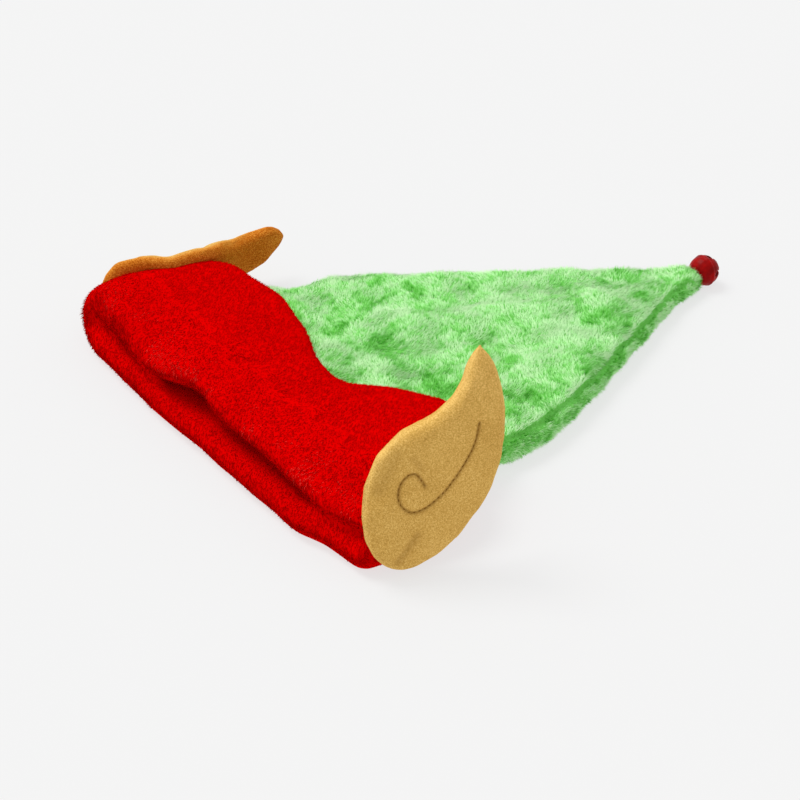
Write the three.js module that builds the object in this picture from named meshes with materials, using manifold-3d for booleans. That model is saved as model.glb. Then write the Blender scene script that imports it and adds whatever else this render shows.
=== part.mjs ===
// A plush elf hat, lying on its back: a peaked crown, a folded cuff, two padded ears and a bell.
// Millimetres, +Z up. +X runs from the mouth to the peak, +Y to the side whose ear leans on the table.
import * as THREE from "three";
import { mergeVertices } from "three/addons/utils/BufferGeometryUtils.js";
import Module from "manifold-3d";

const wasm = await Module();
wasm.setup();

// Gap that stays between pieces that are sewn to each other
const CLEARANCE = 0.3;

// Cuff: a band of plush folded double
const cuffWidth = 308; // fold to fold, with the hat laid flat
const cuffDepth = 104; // mouth to top edge, near the upright ear
const cuffWall = 10;
const cuffHeight = 45; // height of the fullest side fold
const cuffSag = 11; // how far the middle of its top edge sinks between the folds
const lipSetback = 9; // how far the mouth draws back at the near fold
const farLipSetback = 3; // the same at the far fold
const lipOverhang = 8; // how far the upper lip lies behind the lower one

// Crown: one layer of plush, sewn into the cuff's top edge
const crownWidth = 219; // fold to fold, where it leaves the cuff
const crownLength = 247; // cuff's top edge to the peak
const crownWall = 4;
const crownHeight = 21; // height of its side folds
const crownLoft = 4; // how far its middle stands above the folds
const crownTuck = 14; // length held inside the cuff
const crownDrop = 25; // length over which it comes down to the table behind the cuff
const peakWidth = 18;
const peakHeight = 15;
const peakOffset = 4; // how far the peak lies off the hat's middle
const seamDepth = 3;
const hollowGap = 5; // least height of the hollow

// Ears
const earWidth = 78;
const earHeight = 116;
const earThickness = 8;
const earPress = 3.5; // how far the upright ear is pressed into the side fold
const uprightEarStart = 8; // from the mouth to its front edge
const uprightEarRise = 7; // from the table to its lobe
const uprightEarYaw = 18; // degrees that its back edge stands off the cuff
const uprightEarLean = 10; // degrees that it leans over the cuff
const leaningEarStart = 27; // from the mouth to its lobe
const leaningEarRise = 16.5; // from the table to the middle of its lobe
const leaningEarGap = 2; // from its lobe to the side fold

// Bell
const bellDiameter = 19;
const bellWall = 0.9;
const bellSlotWidth = 1.8;
const bellHoleDiameter = 4.2;
const bellRimWidth = 1.2;
const bellLoopDiameter = 4.5;
const bellLoopWire = 1.1;
const bellSeat = 5; // how far the peak's plush comes over the bell

// Proportions
const lipCurve = 6; // power with which the mouth draws back towards its folds
const cornerClosing = 0.95; // share of the hollow's height that is gathered shut at the mouth's far corner
const cornerCurve = 6; // power with which the hollow closes towards that corner
const cornerHold = 0.12; // share of the cuff's depth over which it stays shut
const cornerReach = 0.3; // share of the cuff's depth by which it is fully open again
const peakRounding = 0.4; // radius of the peak's rounding, as a share of its height
const peakAngles = [30, 58]; // degrees, where the peak's rounding has its rings
const hollowReach = 0.86; // share of the crown's length that is hollow
const bellSlotReach = 0.86; // length of a slot, as a share of the bell's diameter
const bellHoleDrop = 0.42; // how far a slot's end hole lies below the rim, as a share of the bell's radius

// Sections of the crown. at: share of the way to the peak. width, height: share of the way from the peak's
// size to the crown's. shift: share of the peak's offset. loft: share of the crown's loft.
const crownSections = [
  { at: 0.0, width: 1.0, height: 1.0, shift: 0.2, loft: 0.4 },
  { at: 0.13, width: 0.99, height: 1.0, shift: 0.0, loft: 0.8 },
  { at: 0.21, width: 0.96, height: 1.0, shift: 0.0, loft: 1.0 },
  { at: 0.32, width: 0.83, height: 1.0, shift: 0.8, loft: 1.0 },
  { at: 0.45, width: 0.66, height: 0.95, shift: 1.0, loft: 0.9 },
  { at: 0.56, width: 0.51, height: 0.85, shift: 1.1, loft: 0.75 },
  { at: 0.69, width: 0.34, height: 0.7, shift: 1.1, loft: 0.5 },
  { at: 0.81, width: 0.17, height: 0.45, shift: 1.1, loft: 0.3 },
  { at: 0.92, width: 0.05, height: 0.15, shift: 1.0, loft: 0.0 },
  { at: 1.0, width: 0.0, height: 0.0, shift: 1.0, loft: 0.0 },
];

// Sections of the cuff. at: share of its depth. width: share of the way from the crown's width to its own.
// near, far: height of each side fold, as a share of the cuff's height. sag: share of the cuff's sag.
// under: thickness of the layer on the table, as a share of the cuff's wall.
const cuffSections = [
  { at: 0.0, width: 0.8, near: 0.6, far: 0.84, sag: 0.1, under: 1.3 },
  { at: 0.12, width: 0.94, near: 0.66, far: 0.88, sag: 0.15, under: 1.3 },
  { at: 0.3, width: 1.0, near: 0.78, far: 0.9, sag: 0.3, under: 1.2 },
  { at: 0.5, width: 0.98, near: 0.9, far: 0.9, sag: 0.55, under: 1.0 },
  { at: 0.7, width: 0.86, near: 1.0, far: 0.9, sag: 0.85, under: 0.8 },
  { at: 0.88, width: 0.5, near: 1.0, far: 0.89, sag: 1.0, under: 0.6 },
  { at: 1.0, width: 0.0, near: 0.96, far: 0.86, sag: 1.0, under: 0.6 },
];

// The cuff's top edge. at: share of the way from the near fold to the far one. depth: share of its depth.
const cuffEdge = [
  { at: 0.0, depth: 1.08 },
  { at: 0.1, depth: 1.07 },
  { at: 0.22, depth: 1.01 },
  { at: 0.31, depth: 0.93 },
  { at: 0.37, depth: 0.83 },
  { at: 0.44, depth: 0.78 },
  { at: 0.5, depth: 0.79 },
  { at: 0.58, depth: 0.84 },
  { at: 0.66, depth: 0.9 },
  { at: 0.76, depth: 0.95 },
  { at: 0.88, depth: 0.97 },
  { at: 1.0, depth: 0.92 },
];

// Soft dents and swells of the crown's upper side. along: share of the crown's length. across: share of its
// half width there. length, width: reach as shares of the crown's length and width. turn: degrees. rise:
// share of its height.
const crownDents = [
  { along: 0.1, across: 0.55, length: 0.1, width: 0.1, turn: 0, rise: -0.16 },
  { along: 0.2, across: -0.08, length: 0.09, width: 0.07, turn: 20, rise: -0.22 },
  { along: 0.13, across: -0.36, length: 0.08, width: 0.06, turn: 60, rise: -0.2 },
  { along: 0.3, across: 0.5, length: 0.1, width: 0.06, turn: -10, rise: -0.14 },
  { along: 0.33, across: 0.1, length: 0.16, width: 0.05, turn: -8, rise: 0.2 },
  { along: 0.42, across: -0.35, length: 0.07, width: 0.04, turn: 35, rise: -0.2 },
  { along: 0.36, across: -0.66, length: 0.1, width: 0.05, turn: -38, rise: 0.16 },
  { along: 0.6, across: 0.35, length: 0.08, width: 0.05, turn: 15, rise: -0.2 },
  { along: 0.66, across: -0.2, length: 0.1, width: 0.04, turn: -20, rise: 0.14 },
  { along: 0.8, across: 0.3, length: 0.08, width: 0.03, turn: -15, rise: -0.16 },
];

// The same for the cuff, as shares of its depth, half width, depth, width and height.
const cuffDents = [
  { along: 0.0, across: 0.46, length: 0.3, width: 0.07, turn: 0, rise: -0.15 },
  { along: 0.0, across: 0.16, length: 0.35, width: 0.08, turn: 0, rise: 0.07 },
  { along: 0.1, across: -0.3, length: 0.3, width: 0.09, turn: 0, rise: 0.03 },
  { along: 0.05, across: 0.75, length: 0.3, width: 0.06, turn: 0, rise: 0.06 },
  { along: 0.55, across: 0.35, length: 0.35, width: 0.09, turn: 30, rise: 0.05 },
  { along: 0.2, across: -0.78, length: 0.4, width: 0.05, turn: -10, rise: -0.12 },
];

// The upper lip. at: share of the way from the near side fold to the far one. back: share of its overhang.
const upperLip = [
  { at: 0.0, back: 0.9 },
  { at: 0.2, back: 0.9 },
  { at: 0.3, back: 1.2 },
  { at: 0.45, back: 0.9 },
  { at: 0.52, back: 1.1 },
  { at: 0.57, back: 1.4 },
  { at: 0.62, back: 1.0 },
  { at: 0.7, back: 0.5 },
  { at: 0.76, back: 0.5 },
  { at: 0.84, back: 0.5 },
  { at: 0.92, back: 0.7 },
  { at: 1.0, back: 1.0 },
];

// Outline of an ear as chords from its front edge to its back edge, bottom to tip, as shares of its width
// and height.
const earChords = [
  { frontX: 0.13, frontZ: 0.03, backX: 0.36, backZ: 0.01 },
  { frontX: 0.03, frontZ: 0.12, backX: 0.59, backZ: 0.09 },
  { frontX: 0.0, frontZ: 0.28, backX: 0.79, backZ: 0.23 },
  { frontX: 0.05, frontZ: 0.46, backX: 0.91, backZ: 0.37 },
  { frontX: 0.21, frontZ: 0.62, backX: 0.98, backZ: 0.53 },
  { frontX: 0.5, frontZ: 0.7, backX: 1.0, backZ: 0.7 },
  { frontX: 0.68, frontZ: 0.8, backX: 0.97, backZ: 0.84 },
  { frontX: 0.77, frontZ: 0.92, backX: 0.93, backZ: 0.93 },
];
const earBottom = { x: 0.24, z: 0 };
const earTip = { x: 0.86, z: 1 };

// How the leaning ear bends, at shares of its length from lobe to tip, in degrees. heading: turned away from
// the hat. pitch: rising. slope: steepness of its upper half. Its lower half curls out over the table.
const earBend = [
  { at: 0.0, heading: -5, pitch: 0, slope: 85 },
  { at: 0.33, heading: -10, pitch: 5, slope: 52 },
  { at: 0.67, heading: 0, pitch: 15, slope: 53 },
  { at: 0.88, heading: 5, pitch: 10, slope: 88 },
  { at: 1.0, heading: 5, pitch: -45, slope: 90 },
];

// Resolution of the meshes
const STATIONS = { under: 8, top: 18, foldAngles: [-60, -30, 0, 24, 40, 56, 75], seamAngle: 40 };
const CROWN_ROWS = 21;
const CROWN_HOLLOW_ROWS = 9;
const CUFF_ROWS = 12;
const CUFF_INNER_ROWS = 5;
const ROUND_STEPS = 3;
const EAR_ROWS = 18;
const EAR_STATIONS = { face: 6, rimAngles: [-60, -25, 0, 25, 60] };
const BELL_SIDES = 20;
const BELL_RINGS = 5;

const { lerp, clamp, degToRad, smoothstep } = THREE.MathUtils;

// Value of one column of a table at a share of the way, on a smooth line through its rows.
function along(table, column, share) {
  const at = clamp(share, table[0].at, table.at(-1).at);
  const next = Math.max(1, table.findIndex((row) => row.at >= at));
  const rows = [table[next - 2], table[next - 1], table[next], table[next + 1]];
  const [before, from, to, after] = rows;
  const span = to.at - from.at;
  const slope = (a, b) => (b[column] - a[column]) / (b.at - a.at);
  const own = slope(from, to);
  const tangent = (other) => {
    if (!other || slope(...other) * own <= 0) return 0;
    return (2 * own * slope(...other)) / (own + slope(...other));
  };
  const start = tangent(before && [before, from]) * span;
  const end = tangent(after && [to, after]) * span;
  const u = (at - from.at) / span;
  const rise = to[column] - from[column];
  const curve = (3 * rise - 2 * start - end) * u ** 2 + (start + end - 2 * rise) * u ** 3;
  return from[column] + start * u + curve;
}

// Height added by a table of dents at a place given in shares. scale holds the millimetres of a whole share:
// { length, halfWidth, width, height }.
function relief(dents, share, across, scale) {
  let rise = 0;
  for (const dent of dents) {
    const turn = degToRad(dent.turn);
    const dx = (share - dent.along) * scale.length;
    const dy = (across - dent.across) * scale.halfWidth;
    const u = (dx * Math.cos(turn) + dy * Math.sin(turn)) / (dent.length * scale.length);
    const v = (dy * Math.cos(turn) - dx * Math.sin(turn)) / (dent.width * scale.width);
    rise += dent.rise * Math.exp(-(u * u + v * v));
  }
  return rise * scale.height;
}

// Places round a flattened section: under side, far fold, upper side, near fold.
function stationsRound() {
  const list = [];
  const evenly = (side, count) => {
    for (let i = 0; i <= count; i++) list.push({ side, share: i / count });
  };
  const fold = (side, angles) => {
    for (const angle of angles) {
      list.push({ side, angle: degToRad(angle), seam: angle === STATIONS.seamAngle });
    }
  };
  evenly("under", STATIONS.under);
  fold("far", STATIONS.foldAngles);
  evenly("top", STATIONS.top);
  fold("near", [...STATIONS.foldAngles].reverse());
  return list;
}
const stations = stationsRound();

// How far a station lies from the middle, 0 in the middle and 1 on the folds.
function outward(station) {
  return station.side === "far" || station.side === "near" ? 1 : Math.abs(2 * station.share - 1);
}

// Point of a flattened section, inset from its outer skin. The section has two round side folds, a flat
// under side, and an upper side that follows rise(y), two walls and the least gap or more above it.
function sectionPoint(section, station, inset, wall, rise) {
  const { halfWidth, shift, lift } = section;
  const nearRadius = section.nearHeight / 2;
  const farRadius = section.farHeight / 2;
  const nearY = shift - halfWidth + nearRadius;
  const farY = shift + halfWidth - farRadius;
  const least = 2 * wall + hollowGap;
  if (station.side === "under") return { y: lerp(nearY, farY, station.share), z: lift + inset };
  if (station.side === "top") {
    const y = lerp(farY, nearY, station.share);
    const height = lerp(section.farHeight, section.nearHeight, station.share) + rise(y);
    return { y, z: lift + Math.max(height, least) - inset };
  }
  const near = station.side === "near";
  const radius = near ? nearRadius : farRadius;
  const centre = near ? nearY : farY;
  const reach = Math.max(radius - inset, radius * 0.2);
  const upper = Math.max(0, Math.sin(station.angle)) ** 2;
  const top = Math.max(2 * radius + rise(centre), least) - 2 * radius;
  return {
    y: centre + (near ? -1 : 1) * reach * Math.cos(station.angle),
    z: lift + radius + reach * Math.sin(station.angle) + upper * top,
  };
}

// How far across the hat a station lies, from the near side fold, 0, to the far one, 1.
function acrossHat(station) {
  return { near: 0, far: 1, under: station.share, top: 1 - station.share }[station.side];
}

// How far up a station lies: 0 on the under side, 1 on the upper side.
function upperness(station) {
  if (station.side === "under") return 0;
  return station.side === "top" ? 1 : smoothstep(station.angle, -Math.PI / 4, Math.PI / 2);
}

// Where the cuff starts and ends at a station.
function cuffStart(station) {
  const back = lipOverhang * along(upperLip, "back", acrossHat(station)) * upperness(station);
  return lerp(lipSetback, farLipSetback, acrossHat(station)) * outward(station) ** lipCurve + back;
}
const cuffEnd = (station) => cuffDepth * along(cuffEdge, "depth", acrossHat(station));
const crownEdgeHalf = crownWidth / 2 + cuffWall + CLEARANCE;

function cuffPoint(x, station, inset) {
  const share = clamp(x / cuffDepth, 0, 1);
  const halfWidth = lerp(crownEdgeHalf, cuffWidth / 2, along(cuffSections, "width", share));
  const section = {
    halfWidth,
    shift: 0,
    lift: 0,
    nearHeight: cuffHeight * along(cuffSections, "near", share),
    farHeight: cuffHeight * along(cuffSections, "far", share),
  };
  const scale = { length: cuffDepth, halfWidth, width: cuffWidth, height: cuffHeight };
  const rise = (y) => {
    const across = y / halfWidth;
    const sag = cuffSag * along(cuffSections, "sag", share);
    return relief(cuffDents, share, across, scale) - sag * Math.cos((across * Math.PI) / 2) ** 2;
  };
  const under = along(cuffSections, "under", share);
  const thicker = Math.min(inset, cuffWall) * (under - 1) * (1 - upperness(station));
  const { y, z } = sectionPoint(section, station, inset + thicker, (cuffWall * (1 + under)) / 2, rise);
  const held = smoothstep(cornerReach - share, 0, cornerReach - cornerHold);
  const gathered = held * acrossHat(station) ** cornerCurve;
  const shut = cornerClosing * gathered * Math.min(inset / cuffWall, 1);
  const bed = cuffWall * under;
  return new THREE.Vector3(x, y, z > bed ? lerp(z, bed, shut) : z);
}

const peakX = cuffDepth + crownLength;

// The crown's own section, free of the cuff.
function freeCrownPoint(x, station, inset) {
  const share = clamp((x - cuffDepth) / crownLength, 0, 1);
  const halfWidth = lerp(peakWidth, crownWidth, along(crownSections, "width", share)) / 2;
  const height = lerp(peakHeight, crownHeight, along(crownSections, "height", share));
  const shift = -peakOffset * along(crownSections, "shift", share);
  const section = { halfWidth, shift, lift: 0, nearHeight: height, farHeight: height };
  const scale = { length: crownLength, halfWidth, width: crownWidth, height: crownHeight };
  const rise = (y) => {
    const across = (y - shift) / halfWidth;
    const loft = crownLoft * along(crownSections, "loft", share);
    const dented = relief(crownDents, share, across, scale) * (1 - across ** 4);
    return dented + loft * Math.cos((across * Math.PI) / 2);
  };
  const { y, z } = sectionPoint(section, station, inset, crownWall, rise);
  return new THREE.Vector3(x, y, z);
}

// The crown lines the cuff up to the cuff's edge, then comes down to its own section.
function crownPoint(x, station, inset) {
  const edge = cuffEnd(station);
  const held = cuffPoint(Math.min(x, edge), station, cuffWall + CLEARANCE + inset);
  held.x = x;
  return held.lerp(freeCrownPoint(x, station, inset), smoothstep(x, edge, edge + crownDrop));
}

// A solid from rows of points, each row a closed ring. Its ends are closed by a point, or else the last ring
// meets the first.
function solidFromRings(rings, { start, end } = {}) {
  const points = rings.flat();
  const count = rings[0].length;
  const faces = [];
  const last = rings.length - 1;
  const wraps = !start && !end;
  for (let i = 0; i < (wraps ? rings.length : last); i++) {
    const above = ((i + 1) % rings.length) * count;
    for (let j = 0; j < count; j++) {
      const k = (j + 1) % count;
      faces.push([i * count + j, i * count + k, above + k], [i * count + j, above + k, above + j]);
    }
  }
  if (!wraps) {
    points.push(start, end);
    for (let j = 0; j < count; j++) {
      const k = (j + 1) % count;
      faces.push([points.length - 2, k, j], [points.length - 1, last * count + j, last * count + k]);
    }
  }
  const made = manifoldOf(points, faces);
  return made.volume() < 0 ? manifoldOf(points, faces.map(([a, b, c]) => [a, c, b])) : made;
}

function manifoldOf(points, faces) {
  const vertProperties = Float32Array.from(points.flatMap((p) => [p.x, p.y, p.z]));
  const triVerts = Uint32Array.from(faces.flat());
  return new wasm.Manifold(new wasm.Mesh({ numProp: 3, vertProperties, triVerts }));
}

const MERGE_DISTANCE = 1e-4;
function solidOfGeometry(geometry) {
  const bare = geometry.clone();
  bare.deleteAttribute("normal");
  bare.deleteAttribute("uv");
  const merged = mergeVertices(bare, MERGE_DISTANCE);
  const vertProperties = merged.attributes.position.array;
  const triVerts = Uint32Array.from(merged.index.array);
  return new wasm.Manifold(new wasm.Mesh({ numProp: 3, vertProperties, triVerts }));
}

function geometryOf(solid) {
  const mesh = solid.getMesh();
  const geometry = new THREE.BufferGeometry();
  geometry.setAttribute("position", new THREE.BufferAttribute(Float32Array.from(mesh.vertProperties), 3));
  geometry.setIndex(new THREE.BufferAttribute(Uint32Array.from(mesh.triVerts), 1));
  geometry.computeVertexNormals();
  return geometry;
}

// Shares from 0 to 1 in equal steps, both ends included.
const steps = (count) => Array.from({ length: count + 1 }, (_, i) => i / count);
// Angles strictly between 0 and 180 degrees, in radians.
const halfTurn = (count) => steps(count + 1).slice(1, -1).map((share) => share * Math.PI);

// Where the crown and the cuff lie on each other, up to where the cuff's edge starts to round off.
const cuffRound = cuffWall / 2;
const heldPlaces = [
  (station) => cuffEnd(station) - crownTuck,
  (station) => cuffEnd(station) - (crownTuck + cuffRound) / 2,
  (station) => cuffEnd(station) - cuffRound,
];

function cuffSolid() {
  const ring = (place, inset) => stations.map((station) => cuffPoint(place(station), station, inset));
  const between = (from, to) => (share) => (station) => lerp(from(station), to(station), share);
  const lipEnd = (station) => cuffStart(station) + cuffRound;
  const outer = steps(CUFF_ROWS).map(between(lipEnd, heldPlaces[2])).map((place) => ring(place, 0));
  const edge = halfTurn(ROUND_STEPS).map((turn) => {
    const back = cuffRound * (1 - Math.sin(turn));
    return ring((station) => cuffEnd(station) - back, cuffRound * (1 - Math.cos(turn)));
  });
  const free = steps(CUFF_INNER_ROWS).slice(0, -1).map(between(lipEnd, heldPlaces[0]));
  const inner = [...free, ...heldPlaces].reverse().map((place) => ring(place, cuffWall));
  const lip = halfTurn(ROUND_STEPS).map((turn) => {
    const back = cuffRound * (1 - Math.sin(turn));
    return ring((station) => cuffStart(station) + back, cuffRound * (1 + Math.cos(turn)));
  });
  return solidFromRings([...outer, ...edge, ...inner, ...lip]);
}

function crownSolid() {
  const round = peakHeight * peakRounding;
  const hollowEnd = cuffDepth + crownLength * hollowReach;
  const seamAt = (x) => seamDepth * smoothstep(x, cuffDepth, cuffDepth + crownDrop);
  const ring = (place, inset) =>
    stations.map((station) => {
      const x = place(station);
      const groove = station.seam && inset === 0 ? seamAt(x) : 0;
      return crownPoint(x, station, inset + groove);
    });
  const hollow = steps(CROWN_HOLLOW_ROWS).map((share) =>
    ring((station) => lerp(hollowEnd, heldPlaces[0](station), share), crownWall));
  const held = heldPlaces.map((place) => ring(place, 0));
  const free = steps(CROWN_ROWS).map((share) =>
    ring((station) => lerp(cuffEnd(station), peakX - round, share), 0));
  const peak = peakAngles.map(degToRad).map((angle) =>
    ring(() => peakX - round * (1 - Math.sin(angle)), round * (1 - Math.cos(angle))));
  const middle = (x, z) => new THREE.Vector3(x, -peakOffset, z);
  return solidFromRings([...hollow, ...held, ...free, ...peak], {
    start: middle(hollowEnd + crownWall, crownHeight / 2 - crownWall / 2),
    end: middle(peakX, peakHeight / 2),
  });
}

// Ear outline: front and back edge at a share of the way from the bottom to the tip.
function earEdges(share) {
  const scaled = (x, z) => new THREE.Vector2(x * earWidth, z * earHeight);
  const edge = (side) =>
    new THREE.SplineCurve([
      scaled(earBottom.x, earBottom.z),
      ...earChords.map((chord) => scaled(chord[side + "X"], chord[side + "Z"])),
      scaled(earTip.x, earTip.z),
    ]);
  return { front: edge("front").getPoint(share), back: edge("back").getPoint(share) };
}

// Places round an ear's section: how far along the chord from its middle, and how far across the pad.
function earStations(halfChord, halfThickness) {
  const rim = Math.min(halfThickness, halfChord * 0.9);
  const flat = halfChord - rim;
  const face = (sign) =>
    steps(EAR_STATIONS.face).map((share) => [sign * lerp(-flat, flat, share), sign * halfThickness]);
  const edge = (sign, angle) => [sign * (flat + rim * Math.cos(angle)), halfThickness * Math.sin(angle)];
  const up = EAR_STATIONS.rimAngles.map(degToRad);
  const down = [...up].reverse();
  const back = down.map((angle) => edge(1, angle));
  const front = up.map((angle) => edge(-1, angle));
  return [...face(1), ...back, ...face(-1), ...front];
}

// An ear as a pad that place(edges, s, t) puts in the hat: s is along the chord and t is across the pad.
// grow makes it larger all round, for the hollow that it presses in the cuff.
function earSolid(place, grow = 0) {
  const rows = steps(EAR_ROWS).slice(1, -1).map((share) => 0.5 - 0.5 * Math.cos(share * Math.PI));
  const rings = rows.map((share) => {
    const edges = earEdges(share);
    const half = edges.front.distanceTo(edges.back) / 2 + grow;
    const thin = Math.sqrt(clamp(half / earThickness, 0.05, 1));
    return earStations(half, (earThickness / 2) * thin + grow).map(([s, t]) => place(edges, s, t));
  });
  const point = (share) => place(earEdges(share), 0, 0);
  return solidFromRings(rings, { start: point(0), end: point(1) });
}

// Middle and direction of an ear's chord.
function chordOf({ front, back }) {
  const middle = front.clone().add(back).multiplyScalar(0.5);
  const way = back.clone().sub(front);
  return { middle, way: way.length() > 1e-6 ? way.normalize() : new THREE.Vector2(1, 0) };
}

// The upright ear: a flat pad whose front edge is pressed into the near side fold.
function placeUprightEar(edges, s, t) {
  const { middle, way } = chordOf(edges);
  const flat = middle.clone().addScaledVector(way, s);
  const turn = new THREE.Euler(-degToRad(uprightEarLean), 0, -degToRad(uprightEarYaw), "ZXY");
  const foldY = -cuffWidth / 2;
  const corner = new THREE.Vector3(uprightEarStart, foldY + earPress - earThickness / 2, uprightEarRise);
  return new THREE.Vector3(flat.x, -t, flat.y).applyEuler(turn).add(corner);
}

const earFoot = new THREE.Vector2(earBottom.x * earWidth, earBottom.z * earHeight);
const earAxis = new THREE.Vector2(earTip.x * earWidth, earTip.z * earHeight).sub(earFoot);
const earLength = earAxis.length();

// Place in the ear's own lengthwise frame: how far along it from the lobe, and across it to the front edge.
function lengthwise(flat) {
  const from = flat.clone().sub(earFoot);
  return { length: from.dot(earAxis) / earLength, across: earAxis.cross(from) / earLength };
}

// Directions of the bent ear at a share of its length: along it and outwards across the hat.
function bendAt(share) {
  const heading = degToRad(along(earBend, "heading", share));
  const pitch = degToRad(along(earBend, "pitch", share));
  const level = new THREE.Vector3(Math.cos(heading), Math.sin(heading), 0);
  const way = level.multiplyScalar(Math.cos(pitch)).add(new THREE.Vector3(0, 0, Math.sin(pitch)));
  return { way, out: new THREE.Vector3(-Math.sin(heading), Math.cos(heading), 0) };
}

// Points along the middle of the leaning ear, from lobe to tip.
const EAR_SPINE = 24;
const leaningEarY = cuffWidth / 2 + earThickness / 2 + leaningEarGap;
const earSpine = [new THREE.Vector3(leaningEarStart, leaningEarY, leaningEarRise)];
for (let i = 0; i < EAR_SPINE; i++) {
  const { way } = bendAt((i + 0.5) / EAR_SPINE);
  earSpine.push(earSpine[i].clone().addScaledVector(way, earLength / EAR_SPINE));
}
function spineAt(share) {
  const place = clamp(share, 0, 1) * EAR_SPINE;
  const from = Math.min(Math.floor(place), EAR_SPINE - 1);
  return earSpine[from].clone().lerp(earSpine[from + 1], place - from);
}

// The leaning ear: a bent pad whose front edge is up against the far side fold and whose back edge is on the
// table.
function placeLeaningEar(edges, s, t) {
  const { middle, way } = chordOf(edges);
  const flat = lengthwise(middle.clone().addScaledVector(way, s));
  const share = flat.length / earLength;
  const spine = spineAt(share);
  const bend = bendAt(clamp(share, 0, 1));
  const low = Math.max(1, -lengthwise(edges.back).across);
  const rest = Math.asin(clamp((spine.z - earThickness / 2 - CLEARANCE) / low, 0, 1));
  const steep = degToRad(along(earBend, "slope", clamp(share, 0, 1)));
  const slope = lerp(Math.min(steep, rest), steep, smoothstep(flat.across, -earThickness, earThickness));
  const upwards = new THREE.Vector3(0, 0, Math.sin(slope));
  const inwards = bend.out.clone().multiplyScalar(-Math.cos(slope)).add(upwards);
  const face = new THREE.Vector3().crossVectors(bend.way, inwards).normalize().multiplyScalar(-1);
  return spine.addScaledVector(inwards, flat.across).addScaledVector(face, t);
}

// The bell lies with its loop in the peak's plush. Its own frame has the loop up +Z and the slots at -Z.
const bellRadius = bellDiameter / 2;
const bellX = peakX - bellSeat + bellRadius;
const bellZ = bellRadius + bellWall / 2; // its rim is on the table

function ball(radius) {
  const profile = steps(2 * BELL_RINGS).map((share) => {
    const turn = -Math.PI / 2 + share * Math.PI;
    const onAxis = share === 0 || share === 1;
    return new THREE.Vector2(onAxis ? 0 : radius * Math.cos(turn), radius * Math.sin(turn));
  });
  return solidOfGeometry(new THREE.LatheGeometry(profile, BELL_SIDES));
}

function bellLoop(grow) {
  const ring = new THREE.TorusGeometry(bellLoopDiameter / 2, bellLoopWire / 2 + grow, 8, 16);
  ring.rotateX(Math.PI / 2).translate(0, 0, bellRadius + bellLoopDiameter / 2 - bellLoopWire);
  return solidOfGeometry(ring);
}

function bellSolid() {
  const reach = bellRadius + bellWall / 2;
  const rim = new THREE.CylinderGeometry(reach, reach, bellRimWidth, BELL_SIDES).rotateX(Math.PI / 2);
  const inside = ball(bellRadius - bellWall);
  let shell = ball(bellRadius).add(solidOfGeometry(rim)).subtract(inside);
  const slotLength = bellDiameter * bellSlotReach;
  for (const turn of [0, 90]) {
    const slot = new THREE.BoxGeometry(slotLength, bellSlotWidth, bellRadius)
      .translate(0, 0, -bellRadius)
      .rotateZ(degToRad(turn));
    shell = shell.subtract(solidOfGeometry(slot));
    const hole = new THREE.CylinderGeometry(bellHoleDiameter / 2, bellHoleDiameter / 2, 2 * bellDiameter, 12)
      .rotateZ(Math.PI / 2)
      .translate(0, 0, -bellRadius * bellHoleDrop)
      .rotateZ(degToRad(turn));
    shell = shell.subtract(solidOfGeometry(hole));
  }
  return shell.add(bellLoop(0).subtract(inside));
}

// What the plush of the peak keeps clear of.
function bellRoom() {
  const reach = bellRadius + bellWall / 2 + CLEARANCE;
  const width = bellRimWidth + 2 * CLEARANCE;
  const rim = new THREE.CylinderGeometry(reach, reach, width, BELL_SIDES).rotateX(Math.PI / 2);
  const loop = bellLoop(CLEARANCE);
  return ball(bellRadius + CLEARANCE).add(solidOfGeometry(rim)).add(loop);
}

const bellTurn = new THREE.Matrix4()
  .makeTranslation(bellX, -peakOffset, bellZ)
  .multiply(new THREE.Matrix4().makeRotationY(-Math.PI / 2));
const placedBell = (solid) => solidOfGeometry(geometryOf(solid).applyMatrix4(bellTurn));

const uprightRoom = earSolid(placeUprightEar, CLEARANCE);
const leaningRoom = earSolid(placeLeaningEar, CLEARANCE);
const largest = (solid) => solid.decompose().sort((a, b) => b.volume() - a.volume())[0];

const pieces = {
  crown: largest(crownSolid().subtract(placedBell(bellRoom())).subtract(uprightRoom).subtract(leaningRoom)),
  cuff: largest(cuffSolid().subtract(uprightRoom).subtract(leaningRoom)),
  ear_upright: earSolid(placeUprightEar),
  ear_leaning: earSolid(placeLeaningEar),
  bell: placedBell(bellSolid()),
};

const finishes = {
  crown: { color: 0x5fd45a, roughness: 0.95, metalness: 0 },
  cuff: { color: 0xd00404, roughness: 0.95, metalness: 0 },
  ear_upright: { color: 0xcfa860, roughness: 0.9, metalness: 0 },
  ear_leaning: { color: 0xcfa860, roughness: 0.9, metalness: 0 },
  bell: { color: 0x9c0606, roughness: 0.3, metalness: 0.6 },
};

const hat = new THREE.Group();
for (const [name, solid] of Object.entries(pieces)) {
  const mesh = new THREE.Mesh(geometryOf(solid), new THREE.MeshStandardMaterial(finishes[name]));
  mesh.name = name;
  hat.add(mesh);
}

// The origin is under the middle of the whole hat, on the table.
const bounds = new THREE.Box3().setFromObject(hat);
const centre = bounds.getCenter(new THREE.Vector3());
hat.position.set(-centre.x, -centre.y, -bounds.min.z);

export default hat;
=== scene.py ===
"""Dresses the plush elf hat: pile on the crown and the cuff, padded ears, an enamelled bell."""
import bpy
import math
import numpy as np
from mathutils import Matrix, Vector
from mathutils.bvhtree import BVHTree


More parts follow.
